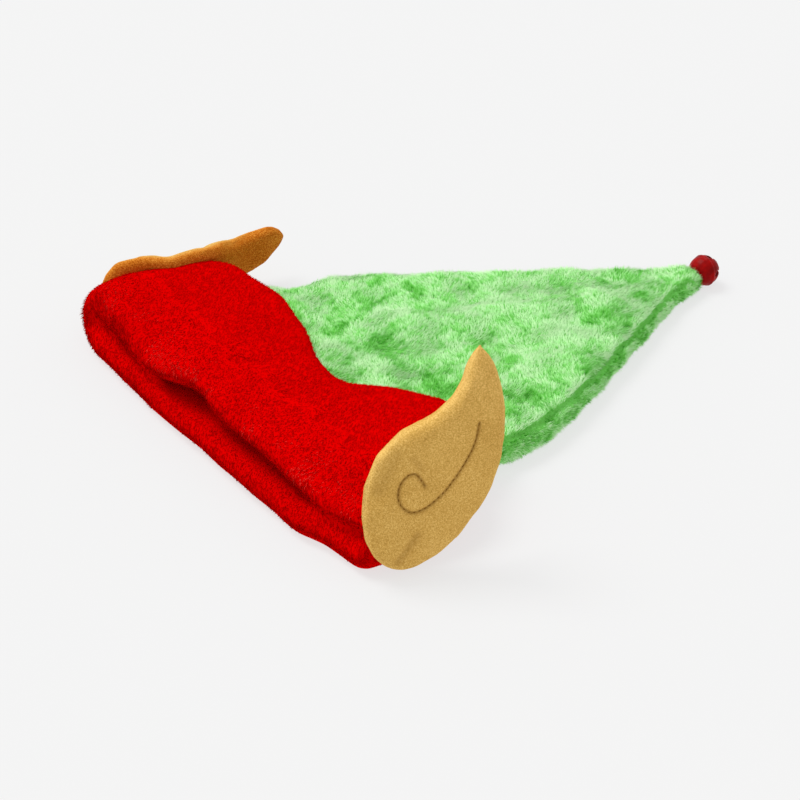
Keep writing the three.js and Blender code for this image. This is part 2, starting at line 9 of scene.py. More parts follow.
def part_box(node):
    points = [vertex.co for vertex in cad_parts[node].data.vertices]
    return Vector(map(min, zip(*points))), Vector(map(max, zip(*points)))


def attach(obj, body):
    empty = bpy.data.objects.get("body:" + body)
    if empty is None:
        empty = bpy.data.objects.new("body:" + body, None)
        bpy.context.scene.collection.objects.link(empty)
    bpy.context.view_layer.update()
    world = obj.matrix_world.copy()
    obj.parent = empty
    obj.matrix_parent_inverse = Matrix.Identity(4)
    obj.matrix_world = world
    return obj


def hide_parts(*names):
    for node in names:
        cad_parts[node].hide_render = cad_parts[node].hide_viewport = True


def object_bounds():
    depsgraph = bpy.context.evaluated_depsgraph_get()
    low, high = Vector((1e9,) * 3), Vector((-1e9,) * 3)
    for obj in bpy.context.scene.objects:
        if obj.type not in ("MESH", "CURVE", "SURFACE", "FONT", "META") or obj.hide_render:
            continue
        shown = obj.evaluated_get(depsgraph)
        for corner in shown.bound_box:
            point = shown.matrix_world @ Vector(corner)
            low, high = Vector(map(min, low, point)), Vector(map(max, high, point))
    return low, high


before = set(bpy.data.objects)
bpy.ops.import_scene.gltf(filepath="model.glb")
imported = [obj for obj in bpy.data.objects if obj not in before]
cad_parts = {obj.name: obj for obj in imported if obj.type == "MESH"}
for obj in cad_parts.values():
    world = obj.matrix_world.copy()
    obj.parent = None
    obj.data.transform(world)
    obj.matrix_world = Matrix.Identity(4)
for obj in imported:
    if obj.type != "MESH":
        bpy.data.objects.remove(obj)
cad_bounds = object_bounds()
MM = 0.001
BODY = "root"

# The camera stands where the photograph was taken from, in the photograph's square frame.
CAMERA_AIM = (-75.8 * MM, -44.0 * MM, 20.0 * MM)
CAMERA_AWAY = 1600 * MM
CAMERA_AZIMUTH = math.radians(-34.0)
CAMERA_ELEVATION = math.radians(31.5)
CAMERA_LENS = 128.3
SENSOR_WIDTH = 36.0

# Each plush. strands: in each of its pieces. length, width: of a strand, in mm. ridge: how thick it is, as a
# share of half its width. sink: how deep the cloth lies under the solid's skin, in mm. lift: how far
# strands stand up. flow: degrees that they point to, seen from above. swirl: degrees that this wanders, over
# swirl_size mm. tuft: size of a tuft in mm. gather: how far strands lean to its middle. fringe: how much
# longer strands are at the rim. spread: how ruffled they are. contrast: how far clumps differ in shade.
CROWN_PILE = {
    "pieces": 3, "strands": 37000, "length": 3.5, "width": 0.43, "ridge": 0.9, "sink": 0.3, "lift": 0.45,
    "flow": 30.0, "swirl": 42.0, "swirl_size": 22.0, "tuft": 1.7, "gather": 0.6, "fringe": 0.0,
    "spread": 0.26, "contrast": 1.1, "seed": 11,
}
CUFF_PILE = {
    "pieces": 2, "strands": 39000, "length": 2.5, "width": 0.6, "ridge": 0.3, "sink": -0.6, "lift": 0.28,
    "flow": 205.0, "swirl": 8.0, "swirl_size": 90.0, "tuft": 1.8, "gather": 0.0, "fringe": 0.7,
    "spread": 0.1, "contrast": 0.06, "seed": 23,
}
# The cuff's pile points forwards up to this far from the mouth's end, in mm, and backwards behind it.
PARTING = 40.0
# The crown's upper face is where a normal points up by more than this.
UPPER = 0.2
# No pile grows on faces that lie on the table, lower than this in mm.
PRESSED_HEIGHT = 3.0

# The cloth under the pile, in mm. It is swollen outwards and filled into the hollow, so that no wall is lost
# when it is remeshed, and the swelling comes off again.
SKIN_VOXEL = 2.5
SKIN_SMOOTHING = 4
SKIN_SWELL = 0.7
HOLLOW_FILL = 1.5
DEEPEST = 2.4
HOLLOW_REACH = 30.0
LINED_DEPTH = 52.0

# Places in the crown's plush where the pile is parted and sunk, in millimetres of the part's frame. x, y:
# the
# middle. reach: how far it spreads. depth: how deep it is; a ridge has less than nothing.
CROWN_DENTS = (
    {"x": -55, "y": 10, "reach": 11, "depth": 1.2}, {"x": -55, "y": -45, "reach": 14, "depth": 1.6},
    {"x": 0, "y": 50, "reach": 10, "depth": 1.2}, {"x": -35, "y": 55, "reach": 9, "depth": 0.9},
    {"x": 70, "y": -35, "reach": 12, "depth": 1.6}, {"x": -5, "y": -50, "reach": 7, "depth": 1.4},
    {"x": 140, "y": -20, "reach": 8, "depth": 1.2}, {"x": -20, "y": -85, "reach": 12, "depth": 1.3},
    {"x": -65, "y": 40, "reach": 10, "depth": 1.2}, {"x": 110, "y": -25, "reach": 7, "depth": 0.8},
    {"x": -85, "y": 70, "reach": 14, "depth": 1.2}, {"x": -45, "y": -20, "reach": 9, "depth": 0.8},
    {"x": 40, "y": -35, "reach": 14, "depth": -1.3}, {"x": -5, "y": -70, "reach": 9, "depth": -1.0},
    {"x": -30, "y": 30, "reach": 12, "depth": -0.9}, {"x": 25, "y": 5, "reach": 15, "depth": -1.0},
    {"x": -75, "y": -10, "reach": 9, "depth": -0.8}, {"x": 95, "y": -15, "reach": 10, "depth": -0.7},
)

# The seam along each side of the crown: where it runs, and how high on the rounded side fold it lies.
SEAM_RUN = (-80.0, 156.0)
SEAM_ANGLE = math.radians(54)
FOLD_RADII = (10.5, 7.5)
SEAM_GROOVE = 1.2
SEAM_WIDTH = 1.4
# Painted shade along each seam: a dark line and its width in mm, and a darker band below the seam, where the
# side fold faces away from the light, and its width in mm.
SEAM_SHADE = 2.6
SEAM_SHADE_WIDTH = 1.3
BAND_WIDTH = 30.0
BAND_SHADE = 0.5
# Painted shade: each mm of a crown dent's depth darkens the pile by this much, and a ridge is lightened by
# it as a painted highlight.
DENT_SHADE = 0.8

# The upright ear's own plane: its turn and lean, and its lower corner from the corner of the whole part.
EAR_YAW = math.radians(18)
EAR_LEAN = math.radians(10)
EAR_INSET = (8.0, 17.55, 7.0)
EAR_SIZE = (78.0, 116.0)
EAR_FOOT = (0.24, 0.0)
EAR_TIP = (0.86, 1.0)

# The curl stitched on each ear, in millimetres of the ear's plane, and the soft dents beside it. from, to: a
# dent's ends. reach: how far it spreads. depth: how deep it is. dark: how much darker painted shade makes
# it.
CURL_PLACES = (
    (63, 76), (60, 65), (53, 53), (44, 42), (34, 34.5), (26, 32), (20.5, 35), (18, 41), (19.5, 48),
    (24, 52.5), (28, 52.5), (30.5, 49.5), (32.5, 45.5),
)
EAR_DENTS = (
    {"from": (18, 64), "to": (8, 46), "reach": 5.0, "depth": 1.6, "dark": 0.2},
    {"from": (16, 5), "to": (27, 19), "reach": 3.0, "depth": 1.8, "dark": 0.35},
    {"from": (27, 62), "to": (31, 56), "reach": 3.0, "depth": 0.8, "dark": 0.2},
)
STITCH_LENGTH = 1.7
STITCH_GAP = 1.3
STITCH_RADIUS = 0.28
GROOVE_DEPTH = 1.3
GROOVE_WIDTH = 1.2
EAR_VOXEL = 2.0
EAR_SWELL = 1.2
EAR_PUFF = 1.0
PUFF_PRESSURE = 4.0
PUFF_FRAMES = 20
# The outer face of an ear is where a normal points out of it by more than this.
OUTER = 0.2

# The leaning ear bends along its length. share: from lobe to tip. heading, pitch, slope: in degrees.
LEANING_INSET = (27.0, 20.7, 16.5)
LEANING_BEND = (
    {"share": 0.0, "heading": -5, "pitch": 0, "slope": 85},
    {"share": 0.33, "heading": -10, "pitch": 5, "slope": 52},
    {"share": 0.67, "heading": 0, "pitch": 15, "slope": 53},
    {"share": 0.88, "heading": 5, "pitch": 10, "slope": 88},
    {"share": 1.0, "heading": 5, "pitch": -45, "slope": 90},
)
SPINE_STEPS = 60

BELL_VOXEL = 0.42

# Single fibres along the cuff's upper lip catch the light: how far back from the lip, in mm, what share of
# them, and how high above the table the upper layer starts.
GLEAM_REACH = 13.0
GLEAM_SHARE = 0.5
LIP_LOW = 26.0

# The floor glows a little, so that it stays as pale and even as a lit studio sweep.
FLOOR_GLOW = 0.7
FLOOR_PALE = 0.158
FLOOR_SIZE = 12.0
ROOM_LIGHT = 0.8
KEY_LIGHT = 1.9
KEY_WIDTH = 30.0
KEY_FROM = (-0.25, 0.53, 1.0)

# Colours by value: from the darkest part of the pile to the lightest.
GREEN_STOPS = (
    (0.0, (0.02, 0.25, 0.01)), (0.25, (0.11, 0.55, 0.05)), (0.5, (0.29, 0.82, 0.19)),
    (0.75, (0.52, 0.99, 0.41)), (1.0, (0.66, 1.0, 0.55)),
)
RED_STOPS = (
    (0.0, (0.5, 0.0, 0.0)), (0.35, (0.57, 0.0, 0.0)), (0.7, (0.61, 0.0, 0.0)), (1.0, (0.64, 0.0, 0.0)),
)
BEIGE_STOPS = ((0.36, (0.46, 0.25, 0.05)), (0.5, (0.66, 0.385, 0.09)), (0.64, (0.89, 0.58, 0.18)))
# Painted shade: the darker, browner colours of the ears' backs, by the same values as the beige.
SHADED_BACK_STOPS = ((0.36, (0.28, 0.05, 0.002)), (0.5, (0.52, 0.14, 0.009)), (0.64, (0.76, 0.32, 0.05)))
# Painted shade: the dark brown along the stitched line and in the ears' dents.
GROOVE_SHADE_COLOUR = (0.3, 0.155, 0.03)
GREEN_CLOTH_STOPS = ((0.3, (0.1, 0.42, 0.05)), (0.7, (0.2, 0.65, 0.13)))
RED_CLOTH_STOPS = ((0.3, (0.58, 0.0, 0.0)), (0.7, (0.66, 0.0, 0.0)))
THREAD_STOPS = ((0.3, (0.2, 0.09, 0.012)), (0.7, (0.32, 0.15, 0.025)))
ENAMEL_STOPS = ((0.35, (0.2, 0.001, 0.001)), (0.65, (0.34, 0.001, 0.001)))
GREEN_GLINT = (0.6, 0.95, 0.55)
RED_GLINT = (0.95, 0.04, 0.03)


def unit(vectors):
    """Rows scaled to length 1."""
    return vectors / np.maximum(np.linalg.norm(vectors, axis=1, keepdims=True), 1e-12)


def points_of(mesh):
    points = np.empty(len(mesh.vertices) * 3, np.float64)
    mesh.vertices.foreach_get("co", points)
    return points.reshape(-1, 3)


def move_points(mesh, points):
    mesh.vertices.foreach_set("co", points.astype(np.float32).ravel())
    mesh.update()


def normals_of(mesh):
    normals = np.empty(len(mesh.vertices) * 3, np.float64)
    mesh.vertices.foreach_get("normal", normals)
    return normals.reshape(-1, 3)


def swell(points, size, seed):
    """A smooth random field between about -1 and 1 that changes over the given size in mm."""
    rng = np.random.default_rng(seed)
    total = np.zeros(len(points))
    waves = 9
    for _ in range(waves):
        heading = rng.normal(size=3)
        heading /= np.linalg.norm(heading)
        turn = 2 * math.pi / (size * MM * rng.uniform(0.7, 1.6))
        total += np.sin(points @ heading * turn + rng.uniform(0, 2 * math.pi))
    return total / math.sqrt(waves / 2)


def copy_of(node, name):
    """A new piece with the same mesh as a CAD node."""
    piece = bpy.data.objects.new(name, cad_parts[node].data.copy())
    bpy.context.collection.objects.link(piece)
    return piece


def with_modifiers(piece):
    """Applies the modifiers of a piece to its mesh."""
    seen = piece.evaluated_get(bpy.context.evaluated_depsgraph_get())
    mesh = bpy.data.meshes.new_from_object(seen)
    piece.modifiers.clear()
    piece.data = mesh
    return mesh


def remesh(piece, voxel):
    step = piece.modifiers.new("remesh", "REMESH")
    step.mode = "VOXEL"
    step.voxel_size = voxel * MM
    step.use_smooth_shade = True
    return with_modifiers(piece)


def weld(piece):
    step = piece.modifiers.new("weld", "WELD")
    step.merge_threshold = 0.01 * MM
    return with_modifiers(piece)


def smooth(piece, rounds):
    step = piece.modifiers.new("smooth", "SMOOTH")
    step.iterations = rounds
    step.factor = 0.5
    return with_modifiers(piece)


def subdivide(piece):
    step = piece.modifiers.new("subdivide", "SUBSURF")
    step.levels = 1
    step.render_levels = 1
    return with_modifiers(piece)


def shade_smooth(mesh):
    mesh.polygons.foreach_set("use_smooth", np.ones(len(mesh.polygons), bool))
    mesh.update()


def tree_of(mesh):
    points = [vertex.co.copy() for vertex in mesh.vertices]
    faces = [tuple(polygon.vertices) for polygon in mesh.polygons]
    return BVHTree.FromPolygons(points, faces)


def openness(points, normals, trees):
    """1 where nothing faces a point within the hollow's reach, 0 where it lies in a closed hollow."""
    free = np.ones(len(points))
    for i, (point, normal) in enumerate(zip(points, normals)):
        start = Vector(point + normal * 0.4 * MM)
        if any(tree.ray_cast(start, Vector(normal), HOLLOW_REACH * MM)[0] is not None for tree in trees):
            free[i] = 0.0
    return free


def on_skin(mesh, line):
    """A line moved to the nearest places of a skin."""
    tree = tree_of(mesh)
    return np.array([list(tree.find_nearest(Vector(place))[0]) for place in line])


def seam_line(side):
    """Points along the crown's seam on one side: -1 is the near side and 1 the far one."""
    cad = points_of(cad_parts["crown"].data) / MM
    along = np.arange(SEAM_RUN[0], SEAM_RUN[1], 6.0)
    reach = np.array([(cad[:, 1] * side)[np.abs(cad[:, 0] - x) < 7.0].max() for x in along])
    rows = 7
    padded = np.concatenate([[reach[0]] * (rows // 2), reach, [reach[-1]] * (rows // 2)])
    reach = np.convolve(padded, np.ones(rows) / rows, mode="valid")
    share = (along - SEAM_RUN[0]) / (SEAM_RUN[1] - SEAM_RUN[0])
    radius = FOLD_RADII[0] + (FOLD_RADII[1] - FOLD_RADII[0]) * share
    across = side * (reach - radius * (1 - math.cos(SEAM_ANGLE)))
    line = np.stack([along, across, radius * (1 + math.sin(SEAM_ANGLE))], 1)
    fine = np.linspace(0, len(line) - 1, 4 * len(line))
    return np.stack([np.interp(fine, np.arange(len(line)), line[:, k]) for k in range(3)], 1) * MM


def from_line(points, line):
    """Distance of each point from a line of points, and the way from the line to the point."""
    best = np.full(len(points), np.inf)
    way = np.zeros_like(points)
    for place in line:
        gap = points - place
        distance = np.linalg.norm(gap, axis=1)
        closer = distance < best
        best[closer] = distance[closer]
        way[closer] = gap[closer]
    return best, unit(way)


def bump(distance, width):
    return np.exp(-(distance / width) ** 2)


def dent_depth(points):
    """How deep the crown's plush is sunk at each point, in mm, and the way out of the dent."""
    depth = np.zeros(len(points))
    away = np.zeros_like(points)
    for dent in CROWN_DENTS:
        gap = points - np.array([dent["x"], dent["y"], 0.0]) * MM
        gap[:, 2] = 0.0
        distance = np.linalg.norm(gap, axis=1)
        amount = dent["depth"] * bump(distance, dent["reach"] * MM)
        depth += amount
        away += unit(gap) * amount[:, None]
    return depth, away


def thicken(mesh):
    """Moves both sides of each wall out along their normals, so that no wall is thin."""
    points = points_of(mesh)
    normals = normals_of(mesh)
    outside = openness(points, normals, [tree_of(mesh)])
    grown = outside * SKIN_SWELL + (1 - outside) * HOLLOW_FILL
    move_points(mesh, points + normals * grown[:, None] * MM)


def skin_of(node, name, pile):
    """The cloth under the pile: the CAD solid with its facets rounded off, a little below its skin."""
    piece = copy_of(node, name)
    thicken(weld(piece))
    remesh(piece, SKIN_VOXEL)
    mesh = smooth(piece, SKIN_SMOOTHING)
    points = points_of(mesh)
    normals = normals_of(mesh)
    outside = openness(points, normals, [tree_of(mesh)])
    depth = pile["sink"] + 0.4 * swell(points, 26, pile["seed"] + 3)
    if node == "crown":
        depth += (normals[:, 2] > UPPER) * dent_depth(points)[0]
        for line in SEAMS:
            depth += SEAM_GROOVE * bump(from_line(points, on_skin(mesh, line))[0], SEAM_WIDTH * MM)
    depth = outside * (np.minimum(depth, DEEPEST) + SKIN_SWELL)
    points -= normals * depth[:, None] * MM
    points[:, 2] = np.maximum(points[:, 2], 0.0)
    move_points(mesh, points)
    shade_smooth(mesh)
    return piece


def triangles_of(mesh):
    mesh.calc_loop_triangles()
    corners = np.empty(len(mesh.loop_triangles) * 3, np.int64)
    mesh.loop_triangles.foreach_get("vertices", corners)
    return corners.reshape(-1, 3)


def strand_roots(skin, pile, rng):
    """Evenly scattered roots on the parts of a skin that can be seen, with their normals."""
    points = points_of(skin.data)
    normals = normals_of(skin.data)
    corners = triangles_of(skin.data)
    sides = np.cross(points[corners[:, 1]] - points[corners[:, 0]],
                     points[corners[:, 2]] - points[corners[:, 0]])
    area = np.linalg.norm(sides, axis=1) / 2
    middle = points[corners].mean(axis=1)
    facing = unit(sides)
    trees = [tree_of(cloth.data) for cloth in SKINS.values()]
    seen = openness(middle, facing, trees) > 0
    pressed = (facing[:, 2] < -0.5) & (middle[:, 2] < PRESSED_HEIGHT * MM)
    lined = middle[:, 0] < cad_bounds[0][0] + LINED_DEPTH * MM
    weight = area * (seen | lined) * ~pressed
    wanted = pile["strands"] * pile["pieces"]
    chosen = rng.choice(len(area), size=wanted, p=weight / weight.sum())
    a = np.sqrt(rng.random(wanted))
    b = rng.random(wanted)
    shares = np.stack([1 - a, a * (1 - b), a * b], 1)[:, :, None]
    roots = (points[corners[chosen]] * shares).sum(axis=1)
    return roots, unit((normals[corners[chosen]] * shares).sum(axis=1))


def tuft_middles(roots, size):
    """The middle and the number of the tuft that each root belongs to."""
    _, group = np.unique(np.floor(roots / (size * MM)).astype(np.int64), axis=0, return_inverse=True)
    group = group.ravel()
    count = np.bincount(group)
    return np.stack([np.bincount(group, roots[:, k]) / count for k in range(3)], 1)[group], group


def pile_strands(skin, pile, seams=()):
    """Everything that places and colours the strands of a plush, one row for each strand."""
    rng = np.random.default_rng(pile["seed"])
    roots, facing = strand_roots(skin, pile, rng)
    wanted = len(roots)
    jitter = np.stack([swell(roots, pile["tuft"] * 2.5, pile["seed"] + k) for k in range(3)], 1)
    warped = roots + 0.35 * pile["tuft"] * MM * jitter
    middles, group = tuft_middles(warped, pile["tuft"])
    angle = np.radians(pile["flow"] + pile["swirl"] * swell(roots, pile["swirl_size"], pile["seed"] + 7))
    angle += rng.normal(size=wanted) * 0.8 * pile["spread"]
    if not seams:
        behind = (roots[:, 0] - cad_bounds[0][0]) / MM - PARTING - 4 * swell(roots, 20, 31)
        angle += math.pi * np.clip(behind / 6, 0, 1)
    heading = np.stack([np.cos(angle), np.sin(angle), np.zeros(wanted)], 1)
    along = unit(heading - facing * (heading * facing).sum(axis=1, keepdims=True))
    lift = pile["lift"] + 0.16 * pile["contrast"] * swell(roots, 16, pile["seed"] + 9)
    shade = np.zeros(wanted)
    direction = along * 1.0
    length = pile["length"] * MM * rng.uniform(0.7, 1.1, wanted)
    if seams:
        depth, away = dent_depth(roots)
        upper = facing[:, 2] > UPPER
        # Painted shade in the sunk dents, and painted highlight on the ridges, of the crown's upper face.
        shade += upper * DENT_SHADE * depth
        direction += (upper * 0.5)[:, None] * away
        for line in seams:
            distance, way = from_line(roots, on_skin(skin.data, line))
            # Painted shade on the band below the seam and in a dark line along it, and a thin painted
            # highlight just above it.
            below = (way[:, 2] < -0.15) * (distance < BAND_WIDTH * MM)
            shade += BAND_SHADE * below
            patchy = np.clip(1 + 0.5 * swell(roots, 9, 91), 0.2, 1.6)
            shade += SEAM_SHADE * bump(distance, SEAM_SHADE_WIDTH * MM) * patchy
            shade -= 0.5 * bump(distance - 3.2 * MM, 1.6 * MM) * ~below
            length *= 1 - 0.75 * bump(distance, 1.0 * MM)
            direction += way * (1.2 * bump(distance, 2.4 * MM))[:, None]
    direction += facing * lift[:, None] + rng.normal(size=(wanted, 3)) * pile["spread"]
    rim = np.clip(1.3 - 2.2 * np.abs(facing[:, 2]), 0, 1)
    length *= 1 + pile["fringe"] * rim
    gather = pile["gather"] + 1.0 * rim
    direction = unit(direction) + gather[:, None] * (middles - warped) / (pile["length"] * MM)
    tips = roots + unit(direction) * length[:, None]
    tips[:, 2] = np.maximum(tips[:, 2], 0.25 * MM)
    side = unit(np.cross(facing, tips - roots))
    tuft_tint = np.random.default_rng(pile["seed"] + 1).random(group.max() + 1)[group]
    tint = 0.35 * rng.random(wanted) + 0.65 * tuft_tint
    clumps = 0.6 * swell(warped, 15, pile["seed"] + 13) + 0.4 * swell(warped, 6, pile["seed"] + 17)
    # Painted shade in thin winding creases between the tufts, in patches.
    crease_shade = bump(swell(warped, 11, pile["seed"] + 19), 0.1) * (swell(roots, 24, pile["seed"] + 23) > 0.1)
    shade += pile["contrast"] * (0.5 * clumps + 0.8 * crease_shade)
    glint = np.zeros(wanted)
    if not seams:
        glint = (rng.random(wanted) < lip_gleam(roots, facing)).astype(float)
    return {"roots": roots, "tips": tips, "side": side, "facing": facing,
            "tint": tint, "shade": np.clip(shade, -1, 1), "glint": glint}


def lip_gleam(roots, facing):
    """The chance that each of the cuff's strands is one that catches the light."""
    back = (roots[:, 0] - cad_bounds[0][0]) / MM
    upper = np.clip(facing[:, 2], 0, 1) * (roots[:, 2] > LIP_LOW * MM)
    patchy = np.clip(0.3 + swell(roots, 30, 77), 0, 1)
    return GLEAM_SHARE * upper * patchy * bump(back - lip_back(roots), GLEAM_REACH)


def lip_back(roots):
    """How far the cuff's upper lip lies back from the mouth's end at each root, in mm."""
    high = roots[:, 2] > LIP_LOW * MM
    step = 12 * MM
    row = np.floor((roots[:, 1] - cad_bounds[0][1]) / step).astype(int)
    lip = np.full(row.max() + 1, np.inf)
    np.minimum.at(lip, row[high], roots[high, 0])
    return (lip[row] - cad_bounds[0][0]) / MM


def strand_mesh(name, strands, width, ridge_height):
    """One mesh of closed tapering strands, each with its own cell of the UV map."""
    count = len(strands["roots"])
    half = width * MM / 2
    sunk = strands["roots"] - strands["facing"] * 0.3 * MM
    side = strands["side"] * half
    ridge = sunk + strands["facing"] * half * ridge_height
    points = np.stack([sunk - side, sunk + side, ridge, strands["tips"]], 1).reshape(-1, 3)
    faces = np.array([[0, 3, 2], [2, 3, 1], [1, 3, 0], [0, 2, 1]])
    corners = (np.arange(count)[:, None, None] * 4 + faces[None]).reshape(-1, 3)
    mesh = bpy.data.meshes.new(name)
    mesh.vertices.add(len(points))
    mesh.vertices.foreach_set("co", points.astype(np.float32).ravel())
    mesh.loops.add(corners.size)
    mesh.loops.foreach_set("vertex_index", corners.astype(np.int32).ravel())
    mesh.polygons.add(len(corners))
    mesh.polygons.foreach_set("loop_start", np.arange(0, corners.size, 3, dtype=np.int32))
    mesh.update(calc_edges=True)
    along = np.tile([0.0, 0.0, 0.0, 1.0], count)
    mesh.attributes.new("along", "FLOAT", "POINT").data.foreach_set("value", along)
    for key in ("tint", "shade", "glint"):
        values = np.repeat(strands[key], 4)
        mesh.attributes.new(key, "FLOAT", "POINT").data.foreach_set("value", values)
    columns = math.ceil(math.sqrt(count))
    cell = np.stack([np.arange(count) % columns, np.arange(count) // columns], 1)
    left = np.arange(4) * 0.25 + 0.02
    gap = 0.21
    places = np.stack([
        np.stack([left, np.full(4, 0.04)], 1),
        np.stack([left + gap / 2, np.full(4, 0.96)], 1),
        np.stack([left + gap, np.full(4, 0.04)], 1)], 1)
    spots = (cell[:, None, None] + places[None]) / columns
    layer = mesh.uv_layers.new(name="OFBake")
    layer.data.foreach_set("uv", spots.astype(np.float32).ravel())
    piece = bpy.data.objects.new(name, mesh)
    bpy.context.collection.objects.link(piece)
    return piece


def make_plush(node, pile, material, backing, slot, seams=()):
    """The cloth of one plush, and its pile in pieces of equal size."""
    skin = SKINS[node]
    strands = pile_strands(skin, pile, seams)
    dress(skin, backing, slot, node)
    order = np.arange(len(strands["roots"])) % pile["pieces"]
    for number in range(pile["pieces"]):
        mine = {key: rows[order == number] for key, rows in strands.items()}
        dress(strand_mesh(f"{node}_pile_{number + 1}", mine, pile["width"], pile["ridge"]), material, slot)


def smooth_curve(places, steps=12):
    """Points on a smooth curve through some places."""
    ends = np.array([places[0], *places, places[-1]], float)
    found = []
    for before, here, there, after in zip(ends, ends[1:], ends[2:], ends[3:]):
        for share in np.arange(steps) / steps:
            bend = (2 * before - 5 * here + 4 * there - after) * share
            bend += (3 * (here - there) + after - before) * share ** 2
            found.append(here + 0.5 * share * (there - before + bend))
    found.append(ends[-1])
    return np.array(found)


def low_corner(inset, side):
    """A place given by its distances from the mouth's end, from one side and from the table, in mm."""
    across = (cad_bounds[1][1] / MM - inset[1]) * side
    return np.array([cad_bounds[0][0] / MM + inset[0], across, inset[2]])


class UprightEar:
    """The plane of the upright ear."""

    def __init__(self):
        self.corner = low_corner(EAR_INSET, -1)
        self.across = np.array([math.cos(EAR_YAW), -math.sin(EAR_YAW), 0.0])
        self.up = np.array([math.sin(EAR_YAW) * math.sin(EAR_LEAN), math.cos(EAR_YAW) * math.sin(EAR_LEAN),
                            math.cos(EAR_LEAN)])
        self.out = np.cross(self.across, self.up)

    def places(self, path):
        """Places over a path in the ear's plane, in metres, and the way out of its outer face."""
        found = self.corner + path[:, :1] * self.across + path[:, 1:] * self.up
        return found * MM, np.tile(self.out, (len(path), 1))

    def outwards(self, points):
        return np.tile(self.out, (len(points), 1))


class LeaningEar:
    """The spine of the leaning ear, which bends along its length."""

    def __init__(self):
        self.foot = np.array(EAR_FOOT) * EAR_SIZE
        self.axis = np.array(EAR_TIP) * EAR_SIZE - self.foot
        self.full = np.linalg.norm(self.axis)
        self.axis /= self.full
        shares = np.linspace(0, 1, SPINE_STEPS + 1)
        known = [row["share"] for row in LEANING_BEND]
        heading, pitch, slope = (np.radians(np.interp(shares, known, [row[key] for row in LEANING_BEND]))
                                 for key in ("heading", "pitch", "slope"))
        ways = np.stack([np.cos(heading) * np.cos(pitch), np.sin(heading) * np.cos(pitch), np.sin(pitch)], 1)
        steps = np.concatenate([[[0, 0, 0]], np.cumsum(ways[:-1], axis=0)]) * self.full / SPINE_STEPS
        self.spine = low_corner(LEANING_INSET, 1) + steps
        out = np.stack([-np.sin(heading), np.cos(heading), np.zeros(len(shares))], 1)
        upwards = np.array([0.0, 0.0, 1.0])
        self.inwards = upwards * np.sin(slope)[:, None] - out * np.cos(slope)[:, None]
        self.face = upwards * np.cos(slope)[:, None] + out * np.sin(slope)[:, None]

    def places(self, path):
        """Places over a path in the ear's plane, in metres, and the way out of its outer face."""
        found = []
        for place in path:
            from_foot = place - self.foot
            at = np.clip(from_foot @ self.axis / self.full, 0, 1) * SPINE_STEPS
            across = self.axis[0] * from_foot[1] - self.axis[1] * from_foot[0]
            found.append((self.along(self.spine, at) + self.along(self.inwards, at) * across,
                          self.along(self.face, at)))
        return np.array([place for place, _ in found]) * MM, np.array([out for _, out in found])

    def along(self, rows, at):
        return np.array([np.interp(at, np.arange(SPINE_STEPS + 1), rows[:, k]) for k in range(3)])

    def outwards(self, points):
        """The way out of the outer face at the part of the spine nearest to each point."""
        gaps = np.linalg.norm(points[:, None] / MM - self.spine[None], axis=2)
        return self.face[gaps.argmin(axis=1)]


def onto_face(mesh, places, outs):
    """Moves places to the ear's outer face, straight along the way out of it."""
    tree = tree_of(mesh)
    found = []
    for place, out in zip(places, outs):
        start = Vector(place + out * 20 * MM)
        hit = tree.ray_cast(start, -Vector(out), 40 * MM)
        if hit[0] is not None:
            found.append((list(hit[0]), list(hit[1])))
    return np.array([place for place, _ in found]), np.array([out for _, out in found])


def puff(piece):
    """Fills the pad by cloth pressure, and holds every point near where it was."""
    start = points_of(piece.data)
    cloth = piece.modifiers.new("cloth", "CLOTH")
    settings = cloth.settings
    settings.use_pressure = True
    settings.uniform_pressure_force = PUFF_PRESSURE
    settings.effector_weights.gravity = 0.0
    settings.quality = 4
    settings.mass = 0.2
    settings.tension_stiffness = 20
    settings.compression_stiffness = 20
    cloth.collision_settings.use_self_collision = False
    scene = bpy.context.scene
    for number in range(1, PUFF_FRAMES + 1):
        scene.frame_set(number)
    mesh = with_modifiers(piece)
    scene.frame_set(1)
    moved = points_of(mesh) - start
    distance = np.linalg.norm(moved, axis=1, keepdims=True)
    moved *= np.minimum(1.0, EAR_PUFF * MM / np.maximum(distance, 1e-9))
    move_points(mesh, start + moved)


